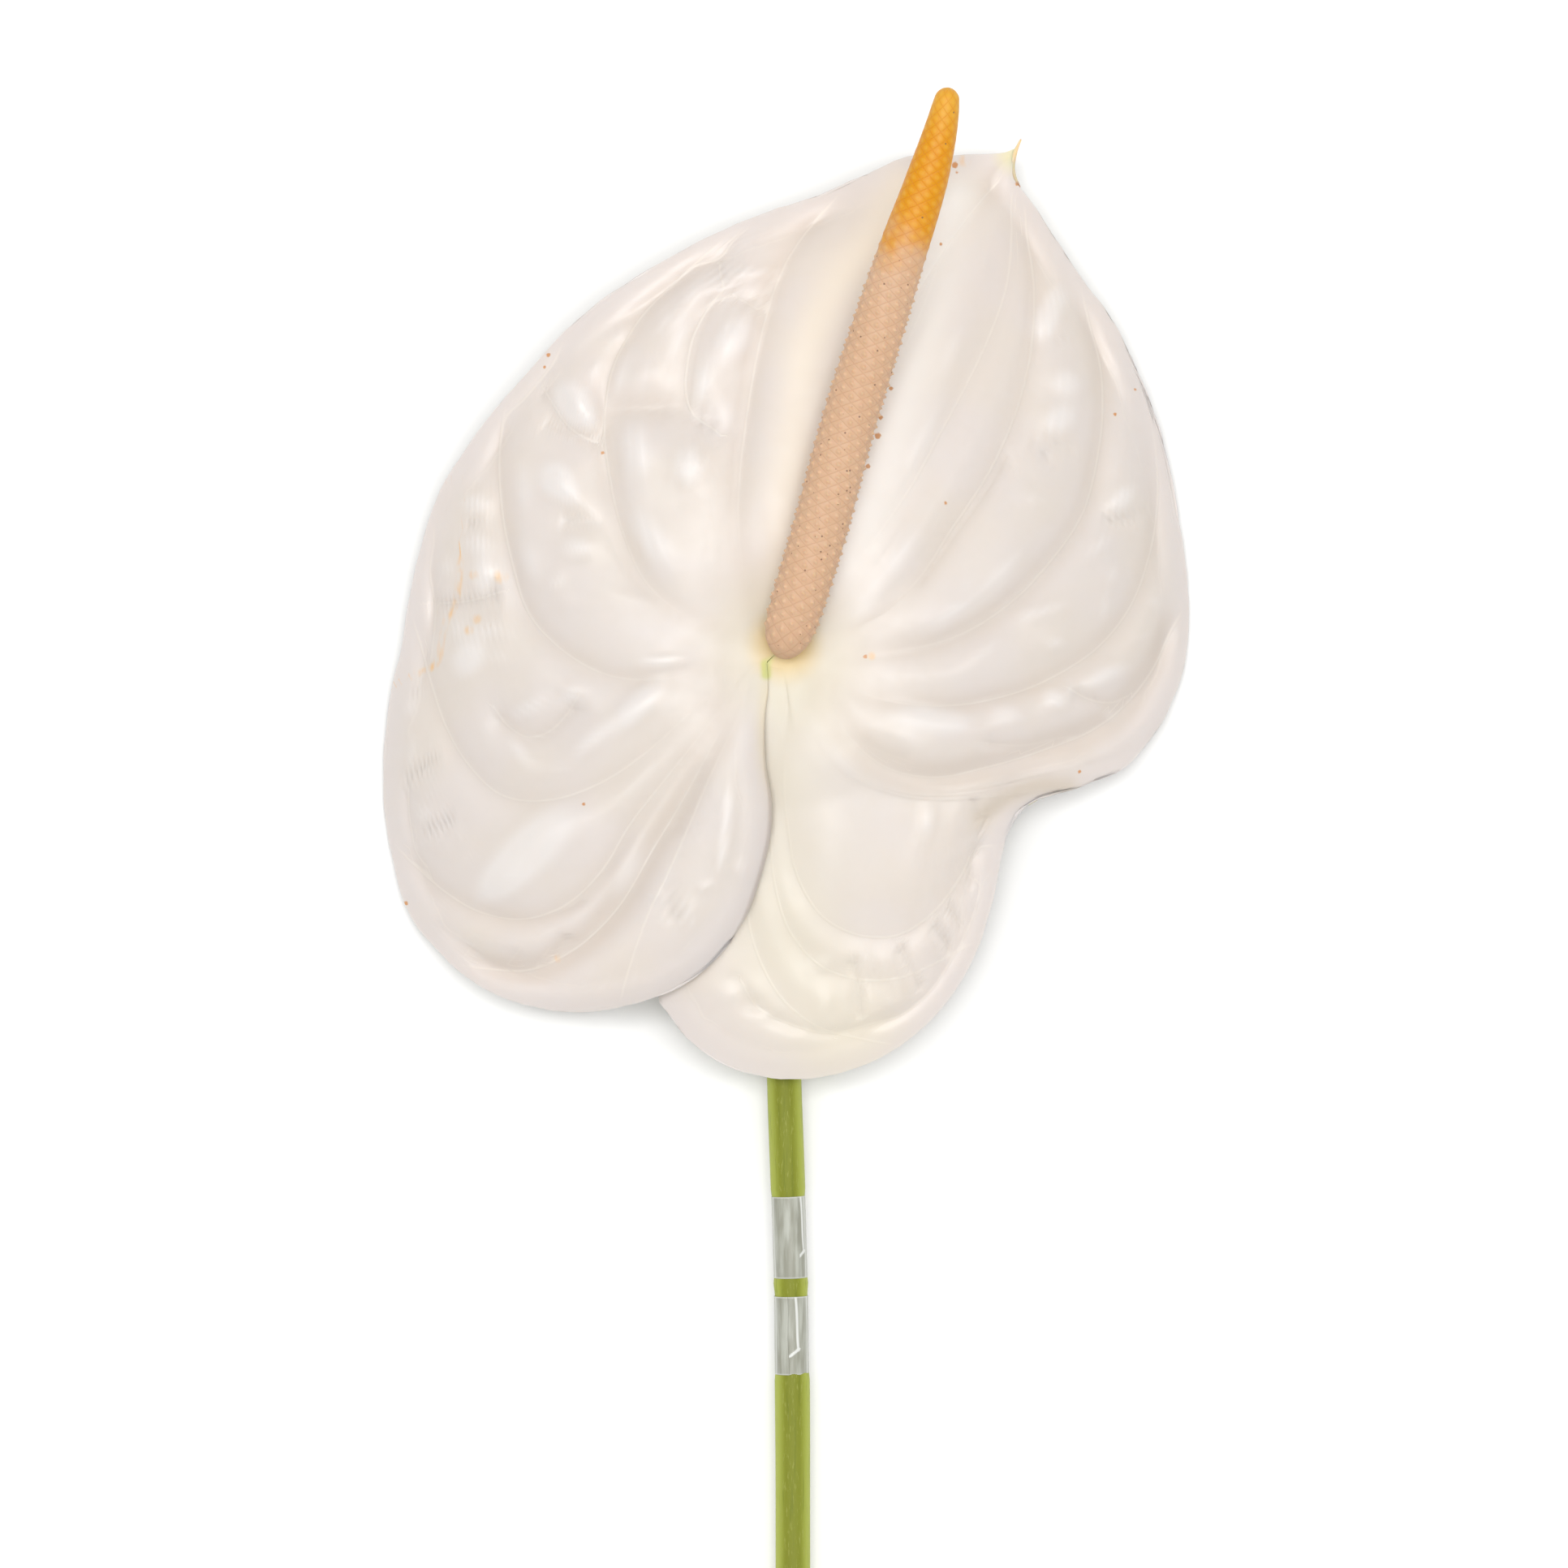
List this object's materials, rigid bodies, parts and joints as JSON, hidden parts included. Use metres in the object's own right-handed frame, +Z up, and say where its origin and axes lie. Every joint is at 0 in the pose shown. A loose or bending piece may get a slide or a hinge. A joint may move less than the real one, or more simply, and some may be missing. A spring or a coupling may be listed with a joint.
{
  "type": "cut anthurium stem",
  "caption": "Cut anthurium lying face up: white heart-shaped spathe with sunken veins, peach and orange spadix, green stem with clear tape bands.",
  "frame": {"origin": "middle of the bottom of the flower's box, on the surface that it lies on", "axes": "+Y along the stem towards the tip of the blade, +Z up from the surface, out of the flower's face"},
  "size_m": [0.141, 0.4945, 0.0464],
  "materials": {
    "spathe": "waxy white petal, smooth with a soft gloss",
    "spadix": "fleshy peach florets, orange at the tip, satin",
    "stem": "smooth green stalk with fine fibres",
    "tape": "clear glossy tape"
  },
  "bodies": {
    "root": {"spathe": "spathe", "spadix": "spadix", "stem": "stem", "tape_upper": "tape", "tape_lower": "tape"}
  },
  "joints": []
}
